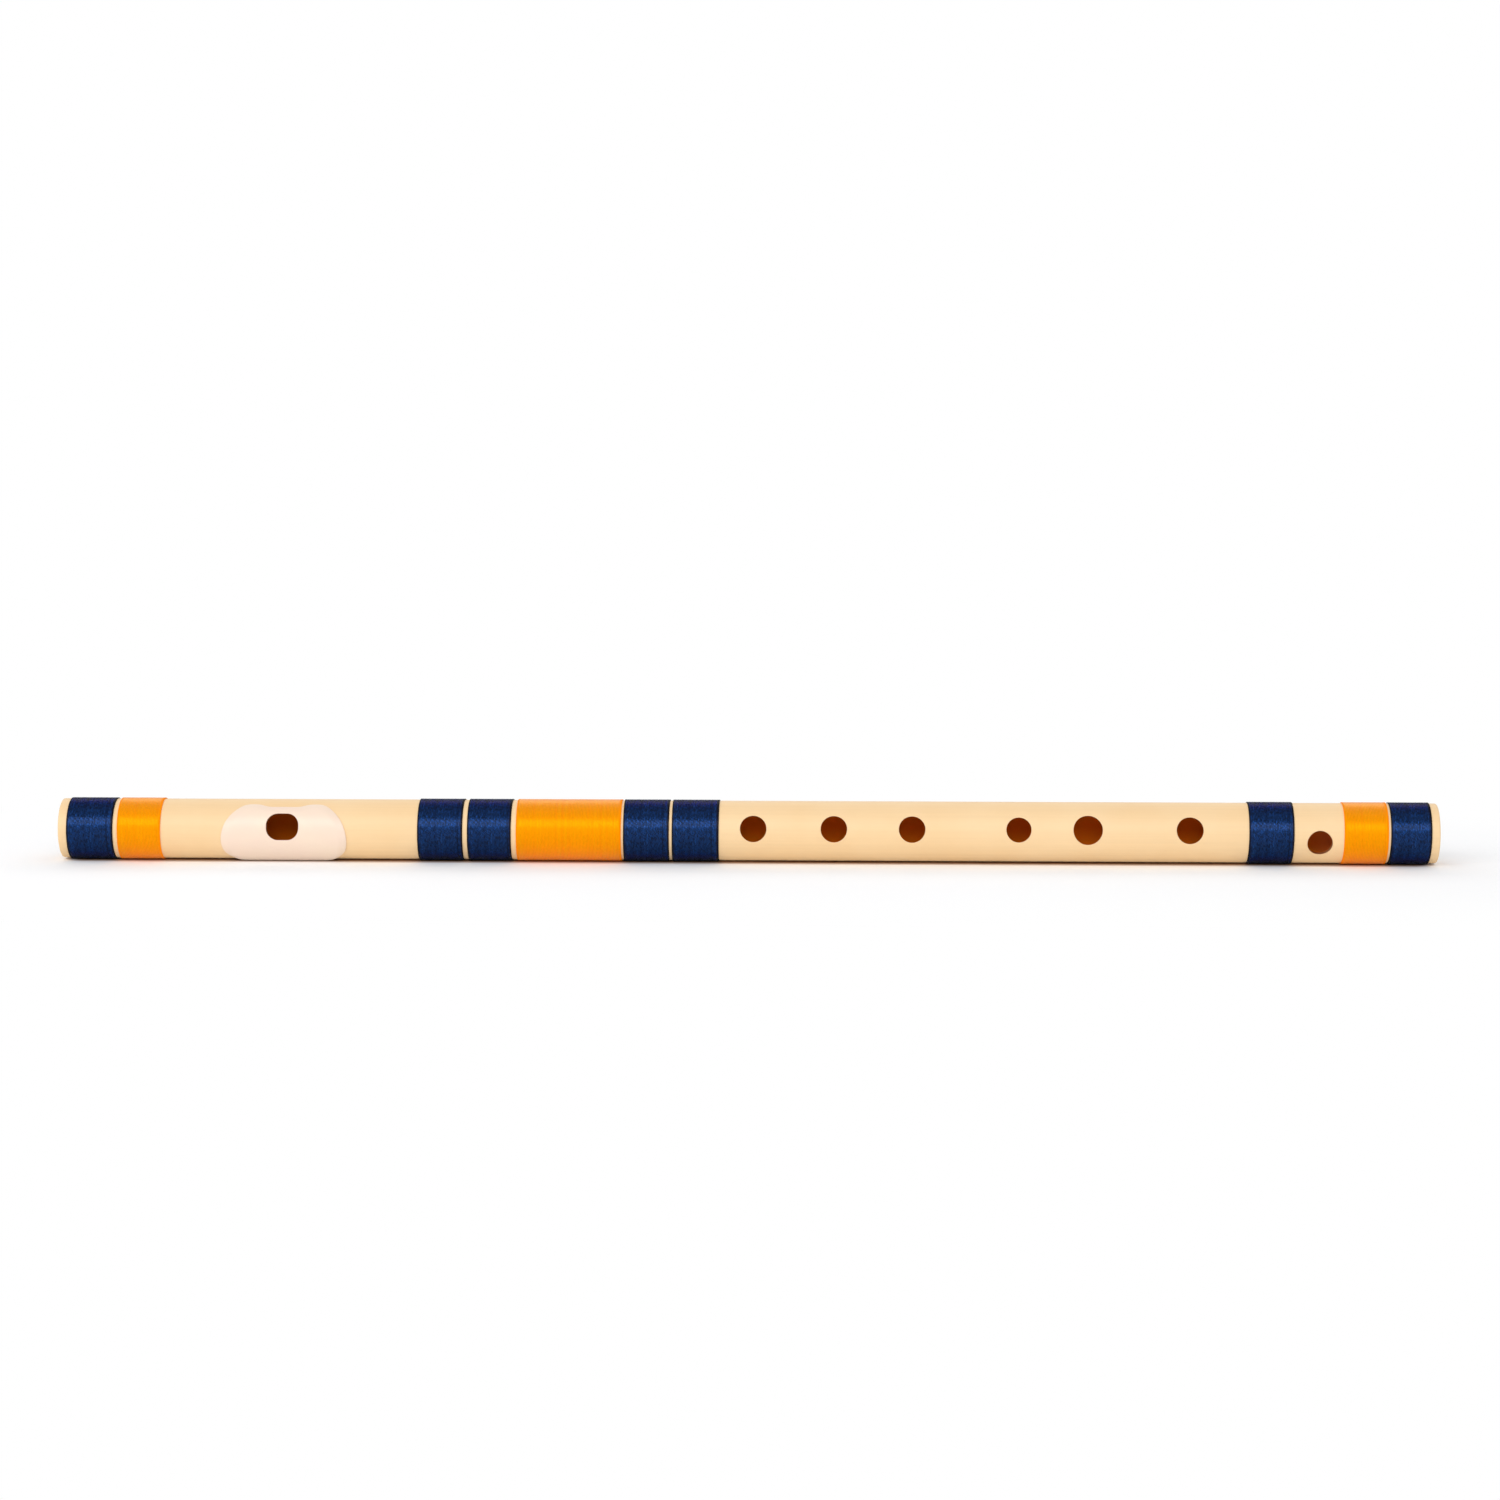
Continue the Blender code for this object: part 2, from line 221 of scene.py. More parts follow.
def hole_edge(directions, length, height, corner, grow):
    """Points of a rectangle with round corners in these directions from its middle, moved out
    square to its edge. The nearest point of the rectangle's core gives that outward direction."""
    core = np.array([length, height]) / 2 - corner
    turn = np.linspace(-math.pi, math.pi, EDGE_SAMPLES + 1)
    circle = np.stack([np.cos(turn), np.sin(turn)], axis=1)
    edge = np.sign(np.round(circle, DECIMAL_PLACES)) * core + corner * circle
    angle = np.arctan2(edge[:, 1], edge[:, 0])
    order = np.argsort(angle)
    found = [
        np.interp(directions, angle[order], edge[order, i], period=2 * math.pi) for i in (0, 1)
    ]
    found = np.stack(found, axis=1)
    outwards = found - np.clip(found, -core, core)
    outwards /= np.linalg.norm(outwards, axis=1)[:, None]
    return found + grow * outwards


# %% [markdown]
# A drill runs straight, so a point of the hole keeps its distance from the hole's middle line while
# the pipe's radius shrinks under it. Its angle about the axis is therefore the arcsine of that
# distance over the radius, on the outside, in the bore and everywhere between.

# %% The holes' ring surfaces
HOLE_EDGE = 0.15 * MM
BORE_EDGE = 0.2 * MM
FLAT_SHARES = (0.25, 0.5, 0.72, 0.88, 0.97)
EDGE_TURNS = np.radians([0.0, 22.5, 45.0, 67.5, 90.0])


def window_loop(i0, i1, j0, j1):
    """The rows and columns once round a window's edge."""
    along_i, along_j = np.arange(i0, i1), np.arange(j0, j1)
    rows = [along_i, np.full(j1 - j0, i1), along_i[::-1] + 1, np.full(j1 - j0, i0)]
    columns = [np.full(i1 - i0, j0), along_j, np.full(i1 - i0, j1), along_j[::-1] + 1]
    return np.concatenate(rows), np.concatenate(columns)


def drilled(name, angle, length, height, corner):
    """One hole's ring surface, from its window in the outside to its window in the bore, with the
    first row and column of the window. Both edges are quarter rounds: the hole is grown by the
    rounding times one less the sine, at a depth of the rounding times one less the cosine."""
    middle = along_of(name)
    i0 = int(np.argmin(abs(straight - (middle - WINDOW_HALF_LENGTH))))
    j0 = round((angle - ROW_ANGLE) / COLUMN_ANGLE) - WINDOW_HALF_COLUMNS
    rows, columns = window_loop(i0, i0 + WINDOW_ROWS, j0, j0 + 2 * WINDOW_HALF_COLUMNS)
    window = np.stack([straight[rows] - middle, ROW_ANGLE + COLUMN_ANGLE * columns - angle], axis=1)
    directions = np.arctan2(TUBE_RADIUS * window[:, 1], window[:, 0])

    def ring(grow, radius):
        across = hole_edge(directions, length, height, corner, grow)
        return np.stack([across[:, 0], np.arcsin(across[:, 1] / radius)], axis=1), radius

    sine, cosine = np.sin(EDGE_TURNS), np.cos(EDGE_TURNS)
    outside = [
        ring(HOLE_EDGE * (1 - s), TUBE_RADIUS - HOLE_EDGE * (1 - c)) for s, c in zip(sine, cosine)
    ]
    bore = [
        ring(BORE_EDGE * (1 - c), BORE_RADIUS + BORE_EDGE * (1 - s)) for s, c in zip(sine, cosine)
    ]
    rings = [(window, TUBE_RADIUS)]
    rings += [(window + share * (outside[0][0] - window), TUBE_RADIUS) for share in FLAT_SHARES]
    rings += outside + bore
    rings += [(window + share * (bore[-1][0] - window), BORE_RADIUS) for share in FLAT_SHARES[::-1]]
    rings.append((window, BORE_RADIUS))
    points = [place(middle + flat[:, 0], angle + flat[:, 1], radius) for flat, radius in rings]
    return np.concatenate(points), grid_quads(len(rings), len(directions))[..., ::-1], i0, j0


# %% The pipe in one piece
points = [place(outline[:, :1], column_angles, outline[:, 1:]).reshape(-1, 3)]
quads = []
solid = np.ones((len(outline), COLUMNS), bool)
bore_start = len(straight) + 2 * RIM_STEPS
for hole in holes:
    ring_points, ring_quads, i0, j0 = drilled(*hole)
    quads.append(ring_quads.reshape(-1, 4) + sum(len(p) for p in points))
    points.append(ring_points)
    window_columns = (j0 + np.arange(2 * WINDOW_HALF_COLUMNS)) % COLUMNS
    bore_row = bore_start + len(straight) - 1 - (i0 + WINDOW_ROWS)
    for first_row in (i0, bore_row):
        solid[np.ix_(first_row + np.arange(WINDOW_ROWS), window_columns)] = False
quads.append(grid_quads(len(outline), COLUMNS, close_rows=True)[solid])
pipe = make_piece("pipe", np.concatenate(points), np.concatenate(quads))
stand_for(pipe, "flute_tube", "flute")

# %% [markdown]
# ## The lip plate
# The player's lip rests on a thin plate, moulded in a lighter plastic and glued round the pipe. Its
# outline is a soft trapezoid with a shallow dip over the hole. Its edge stands up steeply to nearly
# half the plate's height, and a slope 3 mm wide, narrower along the low edge, leads on from there
# to the face. The plate is a closed section, carried round the blow hole from the outline in to
# the hole's wall and back underneath. The outline has only the points that the eye needs, each
# with its distance from the middle in millimetres and its angle in degrees, and a Catmull-Rom
# curve through them keeps it smooth.

# %% The lip plate's outline
PLATE_SEAT = TUBE_RADIUS + 0.02 * MM
PLATE_TOP = 11.6 * MM
PLATE_HALF_OUTLINE = (
    (0.0, 53.5), (5.3, 53.8), (9.3, 60.0), (13.6, 58.8), (16.9, 46.0), (19.8, 28.0), (21.5, 10.0),
    (22.3, -12.0), (21.7, -35.0), (19.6, -53.0), (16.9, -69.5), (12.5, -76.0), (0.0, -76.0),
)
PLATE_OFF_CENTRE = 0.3 * MM
PLATE_GROWTH = 1.012
PLATE_RAYS = 192
CURVE_SAMPLES = 24


def smooth_curve(corners):
    """Close points of the Catmull-Rom curve through a closed loop of points: each span is a cubic
    in its parameter whose ends' slopes are half the step between the points on either side."""
    t = np.linspace(0.0, 1.0, CURVE_SAMPLES, endpoint=False)[:, None]
    p0, p1, p2, p3 = (np.roll(corners, shift, axis=0)[:, None] for shift in (1, 0, -1, -2))
    cubic = (3 * p1 - p0 - 3 * p2 + p3) * t**3
    return (p1 + 0.5 * ((p2 - p0) * t + (2 * p0 - 5 * p1 + 4 * p2 - p3) * t**2 + cubic)).reshape(-1, 2)


def evenly(loop, count):
    """Evenly spaced points along a closed loop."""
    loop = np.vstack([loop, loop[:1]])
    length = np.concatenate([[0.0], np.cumsum(np.linalg.norm(np.diff(loop, axis=0), axis=1))])
    even = np.linspace(0.0, length[-1], count, endpoint=False)
    return np.stack([np.interp(even, length, loop[:, i]) for i in (0, 1)], axis=1)


right = [
    (x * PLATE_GROWTH * MM, (math.radians(a) - ROW_ANGLE) * PLATE_TOP) for x, a in PLATE_HALF_OUTLINE
]
left = [(-x, around) for x, around in right[-2:0:-1]]
plate_outline = evenly(smooth_curve(np.array(right + left)), PLATE_RAYS) + [PLATE_OFF_CENTRE, 0]
print("lip plate: %.1f mm long, %.1f mm round the pipe" % tuple(np.ptp(plate_outline, axis=0) / MM))

# %% The lip plate in one piece
PLATE_SLOPE = [d * MM for d in (0.0, 0.0, 0.03, 0.1, 0.3, 0.9, 1.5, 2.1, 2.5, 2.9)]
PLATE_RISE = (0.0, 0.32, 0.4, 0.44, 0.48, 0.63, 0.78, 0.92, 0.98, 1.0)
PLATE_STEEP_SLOPE = 0.4
PLATE_STEEP_BELOW = np.radians([-62.0, -40.0])
PLATE_HOLE_EDGE = 0.12 * MM
FACE_SHARES = (0.04, 0.12, 0.25, 0.4, 0.55, 0.7, 0.85)
LAST_FACE_SHARE = 0.96


def lip_plate():
    """The plate's section on every ray round the blow hole: in from the outline over the slope,
    across the face, over the hole's quarter-round edge, down its wall and back along the seat. A
    point of a ring is its distance along the pipe and its arc length at the plate's top radius.
    The map named hole rises from 0 at the hole's upper edge to 1 at the foot of its wall."""
    run = np.roll(plate_outline, -1, axis=0) - np.roll(plate_outline, 1, axis=0)
    inwards = np.stack([run[:, 1], -run[:, 0]], axis=1) / np.linalg.norm(run, axis=1)[:, None]
    angle = ROW_ANGLE + plate_outline[:, 1] / PLATE_TOP
    width = np.interp(angle, PLATE_STEEP_BELOW, (PLATE_STEEP_SLOPE, 1.0))[:, None]
    rings = [
        (plate_outline + inward * width * inwards, PLATE_SEAT + rise * (PLATE_TOP - PLATE_SEAT))
        for inward, rise in zip(PLATE_SLOPE, PLATE_RISE)
    ]
    slope_end = rings[-1][0]
    directions = np.arctan2(slope_end[:, 1], slope_end[:, 0])

    def wall(grow, radius):
        across = hole_edge(directions, BLOW_HOLE_LENGTH, BLOW_HOLE_HEIGHT, BLOW_HOLE_CORNER, grow)
        return np.stack([across[:, 0], PLATE_TOP * np.arcsin(across[:, 1] / radius)], axis=1)

    edge = wall(PLATE_HOLE_EDGE, PLATE_TOP)
    rings += [
        (slope_end + share * (edge - slope_end), PLATE_TOP) for share in (*FACE_SHARES, LAST_FACE_SHARE)
    ]
    for turn in EDGE_TURNS:
        radius = PLATE_TOP - PLATE_HOLE_EDGE * (1 - math.cos(turn))
        rings.append((wall(PLATE_HOLE_EDGE * (1 - math.sin(turn)), radius), radius))
    wall_start = len(rings) - len(EDGE_TURNS)
    under = wall(0.0, PLATE_SEAT)
    rings += [(under + share * (slope_end - under), PLATE_SEAT) for share in (0.0, *FACE_SHARES, 1.0)]
    middle = along_of("blow_hole")
    points = [
        place(middle + flat[:, 0], ROW_ANGLE + flat[:, 1] / PLATE_TOP, radius) for flat, radius in rings
    ]
    quads = grid_quads(len(rings), PLATE_RAYS, close_rows=True)
    depth = np.clip((np.arange(len(rings)) - wall_start) / len(EDGE_TURNS), 0, 1)
    hole_map = np.zeros((*quads.shape, 2))
    hole_map[..., 0] = depth[quads // PLATE_RAYS]
    return np.concatenate(points), quads, [("hole", hole_map)]


points, quads, uv_maps = lip_plate()
plate = make_piece("lip_plate_moulding", points, quads, uv_maps)
stand_for(plate, "lip_plate", "flute")

# %% [markdown]
# ## The thread bindings
# Each band is one thread, wound tight with every turn against the last and its ends glued down at
# the back. The real thread is about 0.3 mm thick, finer than a picture of the whole flute can
# show, so here a turn is 0.5 mm wide. Curves with a bevel would be round tubes that cut into each
# other. Instead the band's skin is a ribbon with a thread's arched section, carried along the
# helix, and each turn's edge is the very same row of points as the next turn's, so the whole
# winding is one closed skin. Its ends lean, as the helix does, so each band is wound half a turn
# past its place at both ends, and covers it from every side. The flute lies on its bands, so the
# thread's top is as far from the axis as the table is. No winder lays thread quite evenly, and a
# slow random wander in spacing and height is what makes the fine streaks in its shine.

# %% Winding helpers
THREAD_PITCH = 0.5 * MM
HALF_TURN = THREAD_PITCH / 2
TURN_SAMPLES = 120
ARCH_STEPS = 6
THREAD_SEAT = TUBE_RADIUS + 0.01 * MM
THREAD_TOP = AXIS_HEIGHT
GLUED_END = math.radians(150.0)
TAPER_SAMPLES = 10
TAPERED_LIFT = 0.3
SPACING_WANDER = 0.07
HEIGHT_WANDER = 0.05
GROOVE_HEIGHT = 0.7
WANDERS_PER_TURN = 3


def wander(count, per_turn, generator):
    """A smooth random number between -1 and 1 at each of so many samples along the thread: evenly
    spaced random values with straight lines between them."""
    knots = np.arange(math.ceil(count / TURN_SAMPLES * per_turn) + 2)
    values = generator.uniform(-1, 1, len(knots))
    return np.interp(np.arange(count) / TURN_SAMPLES * per_turn, knots, values)


# %% A band's skin
def winding(low, high, seed):
    """The points, faces and point numbers of one band's skin, with its turns and its section.
    Sample k of the helix lies at the angle k times the step, and its left edge is k pitches per
    turn along. The section rises from the groove to the thread's top as a sine, and its right
    edge is the left edge one turn on."""
    generator = np.random.default_rng(seed)
    turns = round((high - low) / THREAD_PITCH)
    pitch = (high - low) / turns
    last = (turns - 1) * TURN_SAMPLES
    k = np.arange(last + TURN_SAMPLES + 1)
    angle = GLUED_END + 2 * math.pi * k / TURN_SAMPLES
    fade = np.clip(np.minimum(k, last + TURN_SAMPLES - k) / TURN_SAMPLES, 0, 1)
    left_edge = low + pitch * (k / TURN_SAMPLES + SPACING_WANDER * fade * wander(len(k), 1, generator))
    height = 1 - HEIGHT_WANDER * (1 + wander(len(k), WANDERS_PER_TURN, generator))
    taper = np.clip(np.minimum(k, last - k) / TAPER_SAMPLES, 0, 1)
    height *= TAPERED_LIFT + (1 - TAPERED_LIFT) * taper
    arch = np.linspace(0, math.pi, ARCH_STEPS + 1)
    across = (1 - np.cos(arch)) / 2
    lift = GROOVE_HEIGHT + (1 - GROOVE_HEIGHT) * np.sin(arch)
    body, ahead = slice(0, last + 1), slice(TURN_SAMPLES, None)
    along = left_edge[body, None] + across * (left_edge[ahead] - left_edge[body])[:, None]
    radius = THREAD_SEAT + (THREAD_TOP - THREAD_SEAT) * height[body, None] * lift
    skin = place(along, angle[body, None], radius)
    number = np.arange((last + 1) * ARCH_STEPS).reshape(last + 1, ARCH_STEPS)
    end_edge = number.size + np.arange(TURN_SAMPLES)
    right = np.concatenate([number[TURN_SAMPLES:, 0], end_edge])
    number = np.concatenate([number, right[:, None]], axis=1)
    points = np.concatenate([skin[:, :-1].reshape(-1, 3), skin[last + 1 - TURN_SAMPLES :, -1]])
    quads = np.stack([number[:-1, :-1], number[:-1, 1:], number[1:, 1:], number[1:, :-1]], axis=-1)
    return points, quads.reshape(-1, 4), number, k[body] / TURN_SAMPLES, across


# %% Closing a winding
def closed_winding(low, high, seed):
    """A winding with its two ends and its inside. The loop round an end is the free edge of the
    last turn and the cut end of the thread, and both loops are let down to the seat and joined.
    The map named thread holds the distance along the thread and the count of turns across it, and
    the map named edge holds the distance along the pipe from the band's nearer end."""
    points, quads, number, turn, across = winding(low, high, seed)
    start = np.concatenate([number[: TURN_SAMPLES + 1, 0], number[0, -2:0:-1]])
    end = np.concatenate([number[-TURN_SAMPLES - 1 :, -1], number[-1, -2:0:-1]])
    loops = [start]
    for loop in (start, end):
        from_axis = points[loop] - [0, 0, AXIS_HEIGHT]
        distance = np.hypot(from_axis[:, 1], from_axis[:, 2])[:, None]
        seated = points[loop] * [1, 0, 0] + from_axis * [0, 1, 1] * THREAD_SEAT / distance
        loops.append(len(points) + np.arange(len(loop)))
        points = np.concatenate([points, seated + [0, 0, AXIS_HEIGHT]])
    loops.append(end)
    strips = [
        np.stack([a, np.roll(a, -1), np.roll(b, -1), b], axis=-1) for a, b in zip(loops[:-1], loops[1:])
    ]
    all_quads = np.concatenate([quads, *strips])

    first = np.stack(np.broadcast_arrays(turn[:-1, None], across[None, :-1]), axis=-1)
    step = np.array([[0, 0], [0, 1], [1, 1], [1, 0]])
    next_turn, next_across = np.diff(turn)[:, None], np.diff(across)[None, :]
    sizes = np.stack(np.broadcast_arrays(next_turn, next_across), axis=-1)
    corners = (first[:, :, None] + step * sizes[:, :, None]).reshape(-1, 4, 2)
    thread = np.zeros((len(all_quads), 4, 2))
    thread[: len(corners), :, 0] = corners[..., 0] * 2 * math.pi * THREAD_TOP
    thread[: len(corners), :, 1] = corners[..., 0] + corners[..., 1]
    edge = np.zeros_like(thread)
    along = points[all_quads, 0]
    edge[..., 0] = np.minimum(along - low, high - along)
    return points, all_quads, [("thread", thread), ("edge", edge)]


# %% The ten bands
windings = {}
bands = [name for name in frame["nodes"] if name.startswith("binding_")]
for seed, node_name in enumerate(sorted(bands)):
    low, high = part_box(node_name)
    colour = "navy" if "navy" in node_name else "orange"
    points, quads, uv_maps = closed_winding(low.x - HALF_TURN, high.x + HALF_TURN, seed)
    band = make_piece(node_name.replace("binding", "winding"), points, quads, uv_maps)
    stand_for(band, node_name, "flute")
    windings[band] = colour

# %% [markdown]
# ## The stopper
# A cork closes the pipe just before the blow hole. It is turned from bark, so its side is smooth
# but pitted and its ends are a little rough. A turned profile with a fine random relief gives
# that, with shallow pits where the noise dips lowest.

# %% Stopper
CORK_COLUMNS = 120
CORK_PIT = 0.25 * MM
CORK_CHAMFER = 0.6 * MM
CORK_RING_STEP = 0.35 * MM
CORK_LUMP_CELLS = (22, 30)
CORK_SEED = 7


def cork_relief(rows, columns, generator):
    """Smooth random heights from 0 to 1 on a grid that closes round the cork: a coarse random grid,
    read between its points with straight lines along the rows and then along the columns."""
    coarse = generator.random(CORK_LUMP_CELLS)
    coarse = np.concatenate([coarse, coarse[:, :1]], axis=1)
    at_row = np.linspace(0, CORK_LUMP_CELLS[0] - 1, rows)
    at_column = np.linspace(0, CORK_LUMP_CELLS[1], columns, endpoint=False)
    tall = np.stack([np.interp(at_row, np.arange(len(coarse)), c) for c in coarse.T], axis=1)
    return np.stack([np.interp(at_column, np.arange(tall.shape[1]), r) for r in tall])


def stopper_points():
    """The cork's profile runs from the middle of one end over the chamfers to the middle of the
    other. A pit is as deep as the cube of the relief, and fades out at the two middles."""
    low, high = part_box("stopper_cork")
    radius = (high.y - low.y) / 2
    corners = np.array([
        (low.x, 0.0), (low.x, radius - CORK_CHAMFER), (low.x + CORK_CHAMFER, radius),
        (high.x - CORK_CHAMFER, radius), (high.x, radius - CORK_CHAMFER), (high.x, 0.0),
    ])
    length = np.concatenate([[0.0], np.cumsum(np.linalg.norm(np.diff(corners, axis=0), axis=1))])
    at = np.linspace(0.0, length[-1], round(length[-1] / CORK_RING_STEP))
    along, around = (np.interp(at, length, corners[:, i])[:, None] for i in (0, 1))
    pit = CORK_PIT * cork_relief(len(at), CORK_COLUMNS, np.random.default_rng(CORK_SEED)) ** 3
    on_side = np.clip((around - radius + 2 * CORK_CHAMFER) / CORK_CHAMFER, 0, 1)
    inward = np.clip(around / (4 * CORK_CHAMFER), 0, 1) * pit
    middle = (low.x + high.x) / 2
    along = along - np.sign(along - middle) * inward * (1 - on_side)
    angle = 2 * math.pi * np.arange(CORK_COLUMNS) / CORK_COLUMNS
    return place(along, angle, np.maximum(around - inward * on_side, 0.0)).reshape(-1, 3), len(at)


points, rings = stopper_points()
stopper = make_piece("cork_stopper", points, grid_quads(rings, CORK_COLUMNS))
stand_for(stopper, "stopper_cork", "stopper")

# %% [markdown]
# ## Finishes
# A finish starts from what the real one is. Colours are written as sRGB hex, as a colour picker
# shows them, and one function turns them to the linear values that a renderer adds and multiplies.
# One small function adds a node, so that each material below reads like a recipe.

# %% Material helpers
def linear(hex_colour):
    """The linear colour of an sRGB hex colour: a channel under 0.04 is divided by 12.92, and the
    others are raised to the power 2.4."""
    srgb = [int(hex_colour[i : i + 2], 16) / 255 for i in (0, 2, 4)]
    return (*(c / 12.92 if c <= 0.04045 else ((c + 0.055) / 1.055) ** 2.4 for c in srgb), 1.0)


def add(tree, kind, inputs=None, **settings):
    """Adds a node with its settings, and gives its inputs values or links from other nodes."""
    made = tree.nodes.new(kind)
    for name, value in settings.items():
        setattr(made, name, value)
    for key, value in (inputs or {}).items():
        if isinstance(value, bpy.types.NodeSocket):
            tree.links.new(value, made.inputs[key])
        else:
            made.inputs[key].default_value = value
    return made


def finish(name, **constants):
    """A new material's node tree and its Principled shader, with the shader's plain numbers set."""
    material = bpy.data.materials.new(name)
    material.use_nodes = True
    shader = material.node_tree.nodes["Principled BSDF"]
    for socket, value in constants.items():
        shader.inputs[socket.replace("_", " ")].default_value = value
    return material, material.node_tree, shader


def wear(piece, material):
    """The piece takes this material and no other."""
    piece.data.materials.clear()
    piece.data.materials.append(material)


# %% [markdown]
# ### Extruded cream PVC
# The pipe is rigid PVC, coloured through with cream pigment and drawn through a die, which leaves
# a satin skin with faint lines along its length. Rigid PVC has an index of refraction near 1.53.
# Light that enters a hole bounces many times off the cream wall and loses its blue and green at
# each bounce, so the inside looks amber or brown. A renderer stops after a few bounces, so the
# colour is given here as painted light and shade. It deepens with the depth under the skin and with
# the distance in from the open ends. It is amber in the bore, a browner painted shade near the blow
# hole, where the cork and the plate keep light out, and a dark brown painted shade in the holes'
# walls, whose shine is tinted dark as well.

# %% The colour inside the pipe
# The inside's colours are painted light and shade: amber bounced light in the bore, a browner shade near
# the blow hole, and a dark brown shade in the holes' walls, whose shine is tinted dark.
BORE_AMBER = "F58818"
BLOW_HOLE_SHADE_BROWN = "E2760F"
HOLE_WALL_SHADE = "8A4410"
BLOW_HOLE_SHADE_REACH = (9 * MM, 25 * MM)
BORE_FADE = 45 * MM
SKIN_DEPTH = (0.2 * HOLE_EDGE, 0.4 * MM)
WALL_HEIGHT = (0.1 * MM, 0.4 * MM)


def inside_colour(tree, here):
    """The painted light and shade inside the pipe, and its share. The colour goes from a brown shade
    to amber with the distance from the blow hole, and to a dark brown shade with the height over the
    bore. The share is 1 deep under the skin, times 1 far in from the ends."""
    x = add(tree, "ShaderNodeSeparateXYZ", {"Vector": here}).outputs["X"]
    from_blow_hole = add(tree, "ShaderNodeMath", {
        0: x, 1: along_of("blow_hole"),
    }, operation="SUBTRACT").outputs[0]
    from_blow_hole = add(tree, "ShaderNodeMath", {0: from_blow_hole}, operation="ABSOLUTE").outputs[0]
    # Near the blow hole the colour is a browner painted shade.
    beyond_blow_hole_shade = add(tree, "ShaderNodeMapRange", {
        "Value": from_blow_hole, "From Min": BLOW_HOLE_SHADE_REACH[0], "From Max": BLOW_HOLE_SHADE_REACH[1],
    }).outputs["Result"]
    colour = add(tree, "ShaderNodeMix", {
        "Factor": beyond_blow_hole_shade, "A": linear(BLOW_HOLE_SHADE_BROWN), "B": linear(BORE_AMBER),
    }, data_type="RGBA").outputs[2]

    from_axis = add(tree, "ShaderNodeVectorMath", {
        0: here, 1: (0, 0, AXIS_HEIGHT),
    }, operation="SUBTRACT").outputs[0]
    across = add(tree, "ShaderNodeVectorMath", {
        0: from_axis, 1: (0, 1, 1),
    }, operation="MULTIPLY").outputs[0]
    radius = add(tree, "ShaderNodeVectorMath", {0: across}, operation="LENGTH").outputs["Value"]
    # In the holes' walls the colour is a dark brown painted shade.
    in_wall = add(tree, "ShaderNodeMapRange", {
        "Value": radius,
        "From Min": BORE_RADIUS + WALL_HEIGHT[0], "From Max": BORE_RADIUS + WALL_HEIGHT[1],
    }).outputs["Result"]
    colour = add(tree, "ShaderNodeMix", {
        "Factor": in_wall, "A": colour, "B": linear(HOLE_WALL_SHADE),
    }, data_type="RGBA").outputs[2]

    deep = add(tree, "ShaderNodeMapRange", {
        "Value": radius,
        "From Min": TUBE_RADIUS - SKIN_DEPTH[0], "From Max": TUBE_RADIUS - SKIN_DEPTH[1],
    }).outputs["Result"]
    from_middle = add(tree, "ShaderNodeMath", {0: x}, operation="ABSOLUTE").outputs[0]
    far_in = add(tree, "ShaderNodeMapRange", {
        "Value": from_middle, "From Min": foot, "From Max": foot - BORE_FADE,
    }).outputs["Result"]
    share = add(tree, "ShaderNodeMath", {0: deep, 1: far_in}, operation="MULTIPLY").outputs[0]
    return colour, share


# %% Extruded cream PVC
CREAM = "F8D6A6"
CREAM_CLOUD = "F6D2A0"
INSIDE_SHINE_SHADE = "3A1804"
DIE_LINE_LENGTH = 70 * MM
DIE_LINE_WIDTH = 0.9 * MM
CLOUD_SIZE = 22 * MM
PIPE_ROUGHNESS = (0.4, 0.5)


